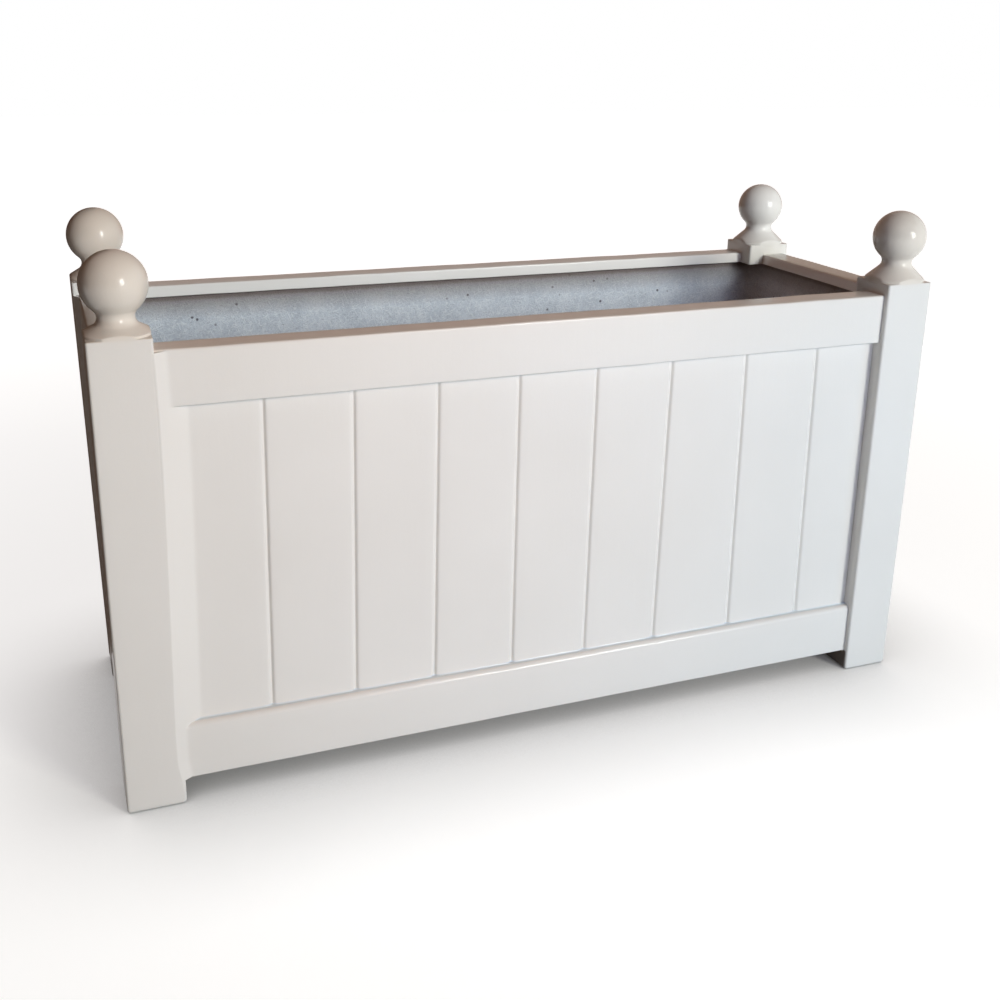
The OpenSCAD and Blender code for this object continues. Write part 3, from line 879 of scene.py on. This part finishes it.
def slot_of(name):
    if name == "liner":
        return "grey_laminate"
    if name == "drain_bushes":
        return "black_plastic"
    if name.endswith("screws"):
        return "steel"
    if name.startswith(("ledger", "bearer")) or name == "finial_dowels":
        return "timber"
    return "paint"


def dress_cad_nodes():
    for name, obj in frame["nodes"].items():
        obj.data.materials.clear()
        obj.data.materials.append(MATERIALS[slot_of(name)])


# Studio

# Soft light of the studio by the side that it comes from
STUDIO = {
    (1, 0, 0): (0.02, 0.02, 0.02),
    (-1, 0, 0): (0.050, 0.028, 0.018),
    (0, 1, 0): (0.32, 0.21, 0.15),
    (0, 0, 1): (0.09, 0.04, 0.02),
}
# Place, target and size of each area light, or cone in degrees and blur of each spot, with its
# power in watts and its colour
WINDOW_STAND = ((1.72, -3.61, 1.55), (0.0, 0.0, 0.35), (0.85, 1.6))
WINDOW = (*WINDOW_STAND, 100.6, (1.0, 0.996, 0.893))
# More of the window's light for three of the finials, and more again for the last of them
HEADS = (*WINDOW_STAND, 12.0, (1.0, 0.96, 0.93))
REAR_HEAD = (*WINDOW_STAND, 16.0, (1.0, 0.84, 0.60))
# Daylight off the floor in front and at the right
LOW = ((0.1, -1.5, 0.10), (0.1, -0.1, 0.1), (1.8, 0.18), 2.5, (0.68, 0.83, 1.0))
LOW_RIGHT = ((0.9, -1.3, 0.12), (0.35, -0.1, 0.12), (1.2, 0.2), 2.4, (0.0, 0.43, 1.0))
# The liner's warm bounce at the right end
END = ((-0.9, 0.0, 0.60), (0.49, 0.0, 0.47), (18, 0.02), 4.8, (1.0, 0.56, 0.40))
# Spots that warm the left end of the front and cool its middle
WARM = ((0.35, -2.0, 1.35), (-0.42, -0.18, 0.42), (46, 0.15), 25.8, (1.0, 0.546, 0.330))
COOL = ((0.5, -2.2, 1.2), (0.15, -0.18, 0.40), (44, 0.15), 31.6, (0.772, 0.769, 1.0))
# Light over the planter's mouth, and from behind
MOUTH = ((0.9, -2.5, 1.35), (0.0, 0.15, 0.5), (0.8, 0.8), 27.5, (0.79, 0.90, 1.0))
BEHIND = ((0.2, 3.0, 0.5), (0.0, 0.19, 0.3), (0.6, 0.8), 16.0, (0.90, 0.96, 1.0))

# Pieces that each of these lights reaches, where it doesn't reach all
HEADS_PIECES = ["painted_finial_front_left", "painted_finial_front_right", "painted_finial_rear_left"]
REAR_HEAD_PIECES = ["painted_finial_rear_left"]
LOW_PIECES = [
    "painted_post_front_left", "painted_post_front_right", "painted_top_rail_front", "painted_panel_front",
    "painted_bottom_rail_front", "filler_cove_front", "floor",
]
END_PIECES = ["painted_top_rail_right", "liner"]
WARM_PIECES = [
    "painted_post_front_left", "painted_finial_front_left", "painted_finial_rear_left",
    "painted_top_rail_front", "painted_panel_front", "painted_bottom_rail_front", "filler_cove_front",
]
MOUTH_PIECES = [
    "painted_top_rail_rear", "painted_post_rear_right", "painted_post_rear_left",
    "painted_finial_rear_right", "liner",
]
BEHIND_PIECES = [
    "painted_post_rear_right", "painted_post_rear_left", "painted_top_rail_rear",
    "painted_bottom_rail_rear", "painted_panel_rear", "filler_cove_rear",
]

# Colour of the floor, and half of its width
FLOOR_COLOUR, FLOOR_HALF = (0.50, 0.50, 0.50), 12.0
# Daylight that a large floor throws back onto the planter
FLOOR_BOUNCE = (0.030, 0.040, 0.045)
# How white the floor reads: near the planter and far from it, and at what distances
NEAR_WHITE, FAR_WHITE, NEAR, FAR = 0.80, 1.0, 0.7, 2.2
# Reach and depth of the shade under the planter
SHADE_REACH, SHADE_DEPTH = 0.22, 1.3
# What the cards glow with, in gloss alone
CARD_BROWN = (0.50, 0.36, 0.30)
CARD_DARK = (0.060, 0.036, 0.025)
# The cards stand round the planter like a room that widens to the front: left and right ends,
# place along Y and top of its back and of its front, and the lower edges of its walls
BACK_LEFT, BACK_RIGHT, BACK_Y, BACK_TOP = -2.6, 3.4, 1.6, 3.2
FRONT_LEFT, FRONT_RIGHT, FRONT_Y, FRONT_TOP = -7.6, 10.0, -13.5, 9.4
BACK_LOW, LEFT_LOW, FRONT_LOW = 0.35, 0.25, 0.7
# A smaller card behind the left end: its ends along X, its place along Y and its top
END_LEFT, END_RIGHT, END_Y, END_TOP = -1.3, -0.46, 0.19, 0.9
# Window pane that gloss alone sees: its direction, distance, size and glow
PANE_TURN, PANE_RISE, PANE_DISTANCE = math.radians(23.5), math.radians(13.2), 12.0
PANE_SIZE, PANE_GLOW = (2.6, 5.0), (14.0, 14.0, 13.6)

# The camera that took the photo: its place, the ways right, up and back, lens and shift
CAMERA_PLACE = (-0.53303, -1.34407, 0.80884)
CAMERA_RIGHT = (0.93655, -0.35034, 0.01126)
CAMERA_UP = (0.09520, 0.28513, 0.95375)
CAMERA_BACK = (-0.33735, -0.89217, 0.30039)
SENSOR_W, LENS, SHIFT_X, SHIFT_Y = 36.0, 42.62, 0.01887, -0.08684


def aim(obj, target):
    obj.rotation_euler = (Vector(target) - obj.location).to_track_quat("-Z", "Y").to_euler()


def hang(data, place, target, power, colour, pieces):
    """A lamp aimed from its place at its target, unseen in gloss, for those pieces or for all."""
    data.energy = power
    data.color = colour
    lamp = bpy.data.objects.new(data.name, data)
    lamp.location = place
    bpy.context.scene.collection.objects.link(lamp)
    aim(lamp, target)
    lamp.visible_glossy = False
    if pieces:
        reached = bpy.data.collections.new(data.name + "_pieces")
        for name in pieces:
            reached.objects.link(frame["nodes"].get(name) or bpy.data.objects[name])
        lamp.light_linking.receiver_collection = reached


def area_light(name, place, target, size, power, colour, pieces=None):
    data = bpy.data.lights.new(name, "AREA")
    data.shape = "RECTANGLE"
    data.size, data.size_y = size
    hang(data, place, target, power, colour, pieces)


def spot_light(name, place, target, cone_and_blur, power, colour, pieces=None):
    cone, blur = cone_and_blur
    data = bpy.data.lights.new(name, "SPOT")
    data.spot_size, data.spot_blend = math.radians(cone), 1.0
    data.shadow_soft_size = blur
    hang(data, place, target, power, colour, pieces)


def make_lamps():
    area_light("window", *WINDOW)
    area_light("heads", *HEADS, HEADS_PIECES)
    area_light("rear_head", *REAR_HEAD, REAR_HEAD_PIECES)
    area_light("low", *LOW, LOW_PIECES)
    area_light("low_right", *LOW_RIGHT, LOW_PIECES)
    spot_light("end", *END, END_PIECES)
    spot_light("warm", *WARM, WARM_PIECES)
    spot_light("cool", *COOL)
    area_light("mouth", *MOUTH, MOUTH_PIECES)
    area_light("behind", *BEHIND, BEHIND_PIECES)


def seen_directly(tree):
    """1 for rays that come from the camera or off gloss, so that these see the white background."""
    path = node(tree, "ShaderNodeLightPath").outputs
    near = maths(tree, "ADD", path["Is Camera Ray"], path["Is Glossy Ray"])
    return node(tree, "ShaderNodeMath", {0: near, 1: path["Is Transmission Ray"]},
                operation="ADD", use_clamp=True).outputs[0]


def make_world():
    world = bpy.data.worlds.new("studio")
    bpy.context.scene.world = world
    world.use_nodes = True
    tree = world.node_tree
    tree.nodes.clear()
    way = node(tree, "ShaderNodeTexCoord").outputs["Generated"]
    total = None
    for axis, colour in STUDIO.items():
        along = vector_maths(tree, "DOT_PRODUCT", {0: way, 1: axis}, "Value")
        share = maths(tree, "POWER", maths(tree, "MAXIMUM", along), 2.0)
        part = vector_maths(tree, "SCALE", {0: colour, "Scale": share}, "Vector")
        total = part if total is None else vector_maths(tree, "ADD", {0: total, 1: part}, "Vector")
    soft = node(tree, "ShaderNodeBackground", {"Color": total, "Strength": 1.0}).outputs[0]
    white = node(tree, "ShaderNodeBackground", {"Color": (1, 1, 1, 1), "Strength": 1.0}).outputs[0]
    mix = node(tree, "ShaderNodeMixShader", {0: seen_directly(tree), 1: soft, 2: white})
    node(tree, "ShaderNodeOutputWorld", {"Surface": mix.outputs[0]})


def stage_plane(name, corners, material):
    mesh = bpy.data.meshes.new(name)
    mesh.from_pydata(corners, [], [(0, 1, 2, 3)])
    mesh.materials.append(material)
    plane = bpy.data.objects.new(name, mesh)
    bpy.context.scene.collection.objects.link(plane)
    return plane


def make_floor():
    """Pale floor that reads white away from the planter and keeps its shadow."""
    material = bpy.data.materials.new("floor")
    material.use_nodes = True
    tree = material.node_tree
    tree.nodes.clear()
    diffuse = node(tree, "ShaderNodeBsdfDiffuse", {"Color": (*FLOOR_COLOUR, 1)})
    away = vector_maths(tree, "LENGTH", {0: object_coordinates(tree)}, "Value")
    sheltered = node(tree, "ShaderNodeAmbientOcclusion", {"Distance": SHADE_REACH}, samples=8).outputs["AO"]
    shade = maths(tree, "POWER", sheltered, SHADE_DEPTH)
    lift = maths(tree, "MULTIPLY", between(tree, away, NEAR, FAR, NEAR_WHITE, FAR_WHITE), shade)
    seen = maths(tree, "MULTIPLY", seen_directly(tree), lift)
    glow = node(tree, "ShaderNodeEmission", {"Strength": seen})
    both = node(tree, "ShaderNodeAddShader", {0: diffuse.outputs[0], 1: glow.outputs[0]})
    thrown = node(tree, "ShaderNodeLightPath").outputs["Is Diffuse Ray"]
    bounce = node(tree, "ShaderNodeEmission", {"Color": (*FLOOR_BOUNCE, 1), "Strength": thrown})
    every = node(tree, "ShaderNodeAddShader", {0: both.outputs[0], 1: bounce.outputs[0]})
    node(tree, "ShaderNodeOutputMaterial", {"Surface": every.outputs[0]})
    half = FLOOR_HALF
    stage_plane("floor", [(-half, -half, 0), (half, -half, 0), (half, half, 0), (-half, half, 0)], material)


def pane_corners():
    """Corners of the far window pane, upright and facing the planter."""
    away = Vector((math.sin(PANE_TURN), -math.cos(PANE_TURN), math.tan(PANE_RISE)))
    centre = away * PANE_DISTANCE + Vector((0, 0, POST_H))
    across = Vector((math.cos(PANE_TURN), math.sin(PANE_TURN), 0)) * PANE_SIZE[0] / 2
    up = Vector((0, 0, PANE_SIZE[1] / 2))
    return [centre - across - up, centre + across - up, centre + across + up, centre - across + up]


def upright(left, right, y, low, high):
    """Corners of an upright card that faces along Y."""
    return [(left, y, low), (right, y, low), (right, y, high), (left, y, high)]


def make_cards():
    """Cards that only gloss sees: the far window, and the brown and dark of an unlit room."""
    back_left, back_right = (BACK_LEFT, BACK_Y, BACK_TOP), (BACK_RIGHT, BACK_Y, BACK_TOP)
    front_left, front_right = (FRONT_LEFT, FRONT_Y, FRONT_TOP), (FRONT_RIGHT, FRONT_Y, FRONT_TOP)
    left_feet = [(FRONT_LEFT, FRONT_Y, FRONT_LOW), (BACK_LEFT, BACK_Y, LEFT_LOW)]
    cards = {
        "card_back": (CARD_BROWN, upright(BACK_LEFT, BACK_RIGHT, BACK_Y, BACK_LOW, BACK_TOP)),
        "card_top": (CARD_BROWN, [front_left, front_right, back_right, back_left]),
        "card_left": (CARD_DARK, left_feet + [back_left, front_left]),
        "card_front": (CARD_DARK, upright(FRONT_LEFT, FRONT_RIGHT, FRONT_Y, FRONT_LOW, FRONT_TOP)),
        "card_end": (CARD_DARK, upright(END_LEFT, END_RIGHT, END_Y, 0.0, END_TOP)),
        "window_pane": (PANE_GLOW, pane_corners()),
    }
    for name, (colour, corners) in cards.items():
        material = bpy.data.materials.new(name)
        material.use_nodes = True
        tree = material.node_tree
        tree.nodes.clear()
        glow = node(tree, "ShaderNodeEmission", {"Color": (*colour, 1), "Strength": 1.0})
        node(tree, "ShaderNodeOutputMaterial", {"Surface": glow.outputs[0]})
        card = stage_plane(name, corners, material)
        card.visible_camera = False
        card.visible_diffuse = False
        card.visible_transmission = False
        card.visible_volume_scatter = False
        card.visible_shadow = False


def make_camera():
    data = bpy.data.cameras.new("camera")
    data.sensor_width = SENSOR_W
    data.lens = LENS
    data.shift_x = SHIFT_X
    data.shift_y = SHIFT_Y
    camera = bpy.data.objects.new("camera", data)
    bpy.context.scene.collection.objects.link(camera)
    turn = Matrix((CAMERA_RIGHT, CAMERA_UP, CAMERA_BACK)).transposed().to_4x4()
    camera.matrix_world = Matrix.Translation(CAMERA_PLACE) @ turn
    bpy.context.scene.camera = camera


dress_cad_nodes()
make_posts()
make_rails()
make_panels()
make_coves()
make_floor()
make_cards()
make_world()
make_camera()
make_lamps()

bpy.context.scene.view_settings.view_transform = "Standard"
